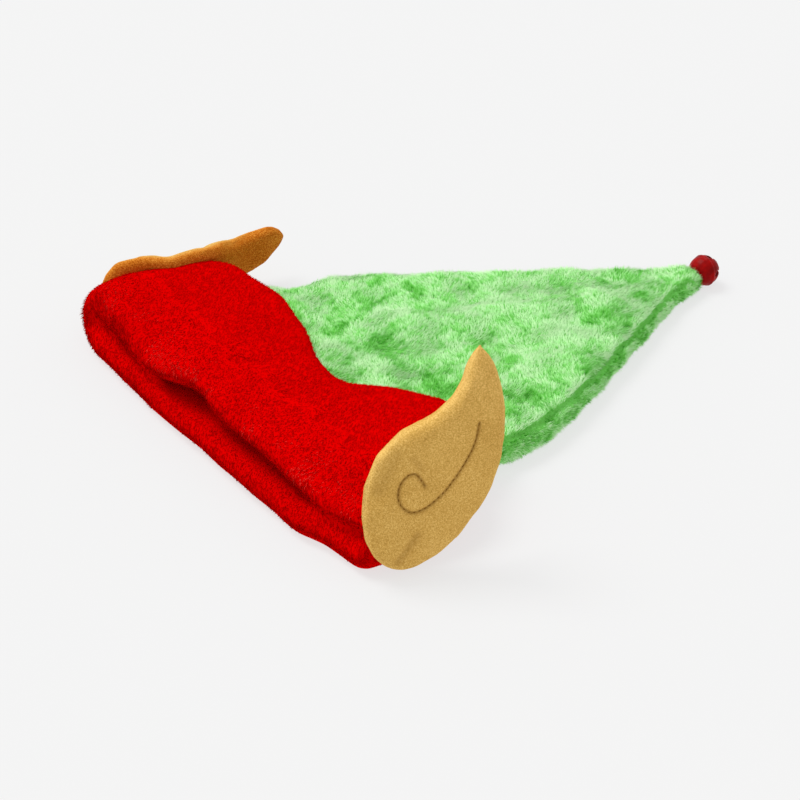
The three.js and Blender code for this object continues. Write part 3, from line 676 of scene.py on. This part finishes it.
def make_ear(node, ear, material, thread, back_shade_reach):
    """Pads and dresses an ear. The last argument: how far the painted shade on its back comes round the rim,
    from -1 to 1.
    """
    piece = copy_of(node, node + "_pad")
    mesh = weld(piece)
    move_points(mesh, points_of(mesh) + normals_of(mesh) * EAR_SWELL * MM)
    remesh(piece, EAR_VOXEL)
    puff(piece)
    smooth(piece, 2)
    mesh = subdivide(piece)
    curl = ear.places(smooth_curve(CURL_PLACES))
    points = points_of(mesh)
    normals = normals_of(mesh)
    outwards = ear.outwards(points)
    turned = (normals * outwards).sum(axis=1)
    distance = from_line(points, onto_face(mesh, *curl)[0])[0]
    depth = GROOVE_DEPTH * bump(distance, GROOVE_WIDTH * MM) + 0.5 * bump(distance, 6 * MM)
    # Painted shade: the stitched line and the dents beside it are coloured darker.
    darkness = bump(distance, 0.75 * MM)
    for dent in EAR_DENTS:
        line = onto_face(mesh, *ear.places(np.linspace(dent["from"], dent["to"], 25)))[0]
        gap = from_line(points, line)[0]
        depth += dent["depth"] * bump(gap, dent["reach"] * MM)
        darkness = np.maximum(darkness, dent["dark"] * bump(gap, 0.7 * dent["reach"] * MM))
    depth += 0.35 * swell(points, 30, 5)
    points -= normals * ((turned > OUTER) * depth)[:, None] * MM
    points[:, 2] = np.maximum(points[:, 2], 0.0)
    move_points(mesh, points)
    shade_smooth(mesh)
    # Painted shade: faces turned away from the outer face are coloured in the darker browns, and on the
    # leaning ear this reaches round the rim.
    back = np.clip((back_shade_reach - turned) / 0.4, 0, 1)
    mesh.attributes.new("back", "FLOAT", "POINT").data.foreach_set("value", back)
    # Painted highlight: faces that turn from the outer face towards the rim are coloured lighter.
    rim = bump(turned - 0.35, 0.35)
    mesh.attributes.new("rim", "FLOAT", "POINT").data.foreach_set("value", rim)
    darkness *= turned > OUTER
    mesh.attributes.new("groove_shade", "FLOAT", "POINT").data.foreach_set("value", darkness)
    dress(piece, material, "ear_felt", node)
    dress(stitch_mesh(node + "_stitches", *onto_face(mesh, *curl)), thread, "ear_felt")


def stitch_mesh(name, places, outs):
    """Short rounded stitches along a line on a face, joined in one mesh."""
    run = np.concatenate([[0], np.cumsum(np.linalg.norm(np.diff(places, axis=0), axis=1))]) / MM
    sides = 6
    rings = ((0.0, 0.0), (0.12, 0.75), (0.5, 1.0), (0.88, 0.75), (1.0, 0.0))
    points, faces = [], []
    start = 0.0
    while start + STITCH_LENGTH < run[-1]:
        first = len(points)
        for share, width in rings:
            at = start + share * STITCH_LENGTH
            place = np.array([np.interp(at, run, places[:, k]) for k in range(3)])
            out = np.array([np.interp(at, run, outs[:, k]) for k in range(3)])
            ahead = np.array([np.interp(at + 0.3, run, places[:, k]) - np.interp(at - 0.3, run, places[:, k])
                              for k in range(3)])
            side = np.cross(out, ahead / max(np.linalg.norm(ahead), 1e-9))
            place += out * (0.2 - 0.5 * (2 * share - 1) ** 2) * MM
            for turn in (range(sides) if width else (0,)):
                angle = 2 * math.pi * turn / sides
                spoke = side * math.cos(angle) + out * math.sin(angle)
                points.append(place + spoke * width * STITCH_RADIUS * MM)
        middle = len(rings) - 2
        last = first + 1 + middle * sides
        for k in range(sides):
            n = (k + 1) % sides
            faces.append((first, first + 1 + n, first + 1 + k))
            faces.append((last, last - sides + k, last - sides + n))
            for ring in range(middle - 1):
                a = first + 1 + ring * sides
                faces.append((a + k, a + n, a + sides + n, a + sides + k))
        start += STITCH_LENGTH + STITCH_GAP
    mesh = bpy.data.meshes.new(name)
    mesh.from_pydata([tuple(p) for p in points], [], faces)
    mesh.update()
    shade_smooth(mesh)
    piece = bpy.data.objects.new(name, mesh)
    bpy.context.collection.objects.link(piece)
    return piece


def make_bell(material):
    piece = copy_of("bell", "bell_shell")
    remesh(piece, BELL_VOXEL)
    shade_smooth(smooth(piece, 10))
    dress(piece, material, "bell_enamel", "bell")


def node_material(name, roughness, specular=0.0):
    material = bpy.data.materials.new(name)
    material.use_nodes = True
    shader = material.node_tree.nodes["Principled BSDF"]
    shader.inputs["Roughness"].default_value = roughness
    shader.inputs["Specular IOR Level"].default_value = specular
    return material, material.node_tree, shader


def add(tree, kind, **values):
    """A new node with its settings and unlinked inputs set by name."""
    node = tree.nodes.new(kind)
    for key, value in values.items():
        if key in node.inputs:
            node.inputs[key].default_value = value
        else:
            setattr(node, key, value)
    return node


def scaled(tree, source, factor, offset=0.0):
    """source * factor + offset, where offset is a number or another output."""
    node = add(tree, "ShaderNodeMath", operation="MULTIPLY_ADD")
    tree.links.new(source, node.inputs[0])
    node.inputs[1].default_value = factor
    if isinstance(offset, float):
        node.inputs[2].default_value = offset
    else:
        tree.links.new(offset, node.inputs[2])
    return node.outputs[0]


def ramp(tree, source, stops):
    node = tree.nodes.new("ShaderNodeValToRGB")
    tree.links.new(source, node.inputs["Fac"])
    while len(node.color_ramp.elements) < len(stops):
        node.color_ramp.elements.new(0.5)
    for element, (place, colour) in zip(node.color_ramp.elements, stops):
        element.position = place
        element.color = (*colour, 1.0)
    return node.outputs["Color"]


def noise(tree, size, detail=2.0, roughness=0.5):
    """Noise in the piece's own space with features of about the given size in mm."""
    place = add(tree, "ShaderNodeTexCoord").outputs["Object"]
    node = add(tree, "ShaderNodeTexNoise", Scale=1 / (size * MM), Detail=detail, Roughness=roughness)
    tree.links.new(place, node.inputs["Vector"])
    return node.outputs["Fac"]


def strand_value(tree, name):
    return add(tree, "ShaderNodeAttribute", attribute_name=name).outputs["Fac"]


def mix(tree, share, first, second):
    """Mixes an output with another output or a colour."""
    node = add(tree, "ShaderNodeMix", data_type="RGBA")
    tree.links.new(share, node.inputs["Factor"])
    tree.links.new(first, node.inputs[6])
    if isinstance(second, tuple):
        node.inputs[7].default_value = (*second, 1.0)
    else:
        tree.links.new(second, node.inputs[7])
    return node.outputs[2]


def plush_material(name, stops, middle, strand_share, patch_size, patch_share, glint_colour):
    """Pile with painted shade that makes it darker at its roots, with lighter and darker patches, tufts and
    strands, and the painted shade and highlights of each strand's shade value.
    """
    material, tree, shader = node_material(name, 0.9)
    # Painted shade: the roots are coloured darker than the tips.
    value = scaled(tree, strand_value(tree, "along"), 0.3 * strand_share, middle - 0.15 * strand_share)
    value = scaled(tree, strand_value(tree, "tint"), 0.42 * strand_share, value)
    value = scaled(tree, strand_value(tree, "shade"), -0.5, value)
    value = scaled(tree, noise(tree, patch_size, 3.0, 0.55), patch_share, value)
    colour = mix(tree, strand_value(tree, "glint"), ramp(tree, value, stops), glint_colour)
    tree.links.new(colour, shader.inputs["Base Color"])
    return material


def cloth_material(name, stops, grain_size, patch_size, relief):
    """Cloth with a fine grain in its colour and its surface, and soft patches."""
    material, tree, shader = node_material(name, 0.92)
    grain = noise(tree, grain_size, 3.0, 0.65)
    value = scaled(tree, noise(tree, patch_size), 0.4, scaled(tree, grain, 0.6))
    tree.links.new(ramp(tree, value, stops), shader.inputs["Base Color"])
    lift = add(tree, "ShaderNodeBump", Strength=0.6, Distance=relief * MM)
    tree.links.new(grain, lift.inputs["Height"])
    tree.links.new(lift.outputs["Normal"], shader.inputs["Normal"])
    return material


def fleece_material(name, stops, shaded_back_stops, groove_shade_colour):
    """Short fleece: fine grain, a painted highlight towards the rim, painted shade in browner colours on the
    ear's back, and darker painted shade along the stitched line and in the dents.
    """
    material, tree, shader = node_material(name, 0.95)
    grain = noise(tree, 0.75, 3.0, 0.8)
    value = scaled(tree, noise(tree, 24), 0.16, scaled(tree, grain, 0.84))
    # Painted highlight towards the rim.
    value = scaled(tree, strand_value(tree, "rim"), 0.07, value)
    mixed = mix(tree, strand_value(tree, "back"), ramp(tree, value, stops), ramp(tree, value, shaded_back_stops))
    # Painted shade along the stitched line and in the dents.
    lined = mix(tree, strand_value(tree, "groove_shade"), mixed, groove_shade_colour)
    tree.links.new(lined, shader.inputs["Base Color"])
    lift = add(tree, "ShaderNodeBump", Strength=0.8, Distance=0.5 * MM)
    tree.links.new(grain, lift.inputs["Height"])
    tree.links.new(lift.outputs["Normal"], shader.inputs["Normal"])
    return material


def enamel_material(name, stops):
    """Glossy enamel over metal, slightly uneven, and painted shade, almost black, in the gap where it meets
    the plush.
    """
    material, tree, shader = node_material(name, 0.4, 0.06)
    place = add(tree, "ShaderNodeTexCoord").outputs["Object"]
    parts = add(tree, "ShaderNodeSeparateXYZ")
    tree.links.new(place, parts.inputs[0])
    near = add(tree, "ShaderNodeMapRange")
    tree.links.new(parts.outputs["X"], near.inputs["Value"])
    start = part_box("bell")[0][0]
    near.inputs["From Min"].default_value = start + 2.5 * MM
    near.inputs["From Max"].default_value = start + 5.0 * MM
    # Painted shade: the bell's end towards the plush is coloured almost black.
    dark = add(tree, "ShaderNodeMix", data_type="RGBA")
    colour = ramp(tree, noise(tree, 5.0), stops)
    tree.links.new(near.outputs["Result"], dark.inputs["Factor"])
    dark.inputs[6].default_value = (0.015, 0.0, 0.0, 1.0)
    tree.links.new(colour, dark.inputs[7])
    tree.links.new(dark.outputs[2], shader.inputs["Base Color"])
    return material


def dress(piece, material, slot, *nodes):
    """Gives a piece its material and its body, and hides the nodes that it stands for. The slot is not used.
    """
    piece.data.materials.clear()
    piece.data.materials.append(material)
    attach(piece, BODY)
    if nodes:
        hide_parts(*nodes)


def make_camera():
    data = bpy.data.cameras.new("camera")
    data.lens = CAMERA_LENS
    data.sensor_width = SENSOR_WIDTH
    data.clip_end = 20.0
    camera = bpy.data.objects.new("camera", data)
    bpy.context.collection.objects.link(camera)
    away = Vector((math.sin(CAMERA_AZIMUTH) * math.cos(CAMERA_ELEVATION),
                   -math.cos(CAMERA_AZIMUTH) * math.cos(CAMERA_ELEVATION),
                   math.sin(CAMERA_ELEVATION)))
    camera.location = Vector(CAMERA_AIM) + away * CAMERA_AWAY
    camera.rotation_euler = away.to_track_quat("Z", "Y").to_euler()
    bpy.context.scene.camera = camera


def make_studio():
    """A pale floor, even light all round, and a large soft light from behind on the left."""
    bpy.ops.mesh.primitive_plane_add(size=FLOOR_SIZE, location=(0.0, 0.0, 0.0))
    floor = bpy.context.object
    floor.name = "floor"
    material, _, shader = node_material("pale_floor", 0.9)
    shader.inputs["Base Color"].default_value = (FLOOR_PALE, FLOOR_PALE, FLOOR_PALE, 1.0)
    shader.inputs["Emission Color"].default_value = (1.0, 1.0, 1.0, 1.0)
    shader.inputs["Emission Strength"].default_value = FLOOR_GLOW
    floor.data.materials.append(material)
    world = bpy.data.worlds.new("studio")
    world.use_nodes = True
    world.node_tree.nodes["Background"].inputs["Color"].default_value = (1.0, 1.0, 1.0, 1.0)
    world.node_tree.nodes["Background"].inputs["Strength"].default_value = ROOM_LIGHT
    bpy.context.scene.world = world
    bpy.context.scene.view_settings.view_transform = "Standard"
    data = bpy.data.lights.new("key", "SUN")
    data.energy = KEY_LIGHT
    data.angle = math.radians(KEY_WIDTH)
    light = bpy.data.objects.new("key", data)
    bpy.context.collection.objects.link(light)
    light.rotation_euler = Vector(KEY_FROM).to_track_quat("Z", "Y").to_euler()


make_camera()
make_studio()
SEAMS = (seam_line(-1), seam_line(1))
SKINS = {
    "crown": skin_of("crown", "crown_backing", CROWN_PILE),
    "cuff": skin_of("cuff", "cuff_backing", CUFF_PILE),
}
GREEN_PLUSH = plush_material("green_plush", GREEN_STOPS, 0.3, 1.35, 6, 0.5, GREEN_GLINT)
GREEN_CLOTH = cloth_material("green_backing", GREEN_CLOTH_STOPS, 1.5, 20, 0.4)
make_plush("crown", CROWN_PILE, GREEN_PLUSH, GREEN_CLOTH, "crown_plush", SEAMS)
RED_PLUSH = plush_material("red_plush", RED_STOPS, 0.5, 0.25, 45, 0.08, RED_GLINT)
RED_CLOTH = cloth_material("red_backing", RED_CLOTH_STOPS, 1.5, 20, 0.2)
make_plush("cuff", CUFF_PILE, RED_PLUSH, RED_CLOTH, "cuff_plush")
FLEECE = fleece_material("beige_fleece", BEIGE_STOPS, SHADED_BACK_STOPS, GROOVE_SHADE_COLOUR)
THREAD = cloth_material("brown_thread", THREAD_STOPS, 0.4, 5, 0.1)
make_ear("ear_upright", UprightEar(), FLEECE, THREAD, -0.4)
make_ear("ear_leaning", LeaningEar(), FLEECE, THREAD, 0.75)
make_bell(enamel_material("red_enamel", ENAMEL_STOPS))
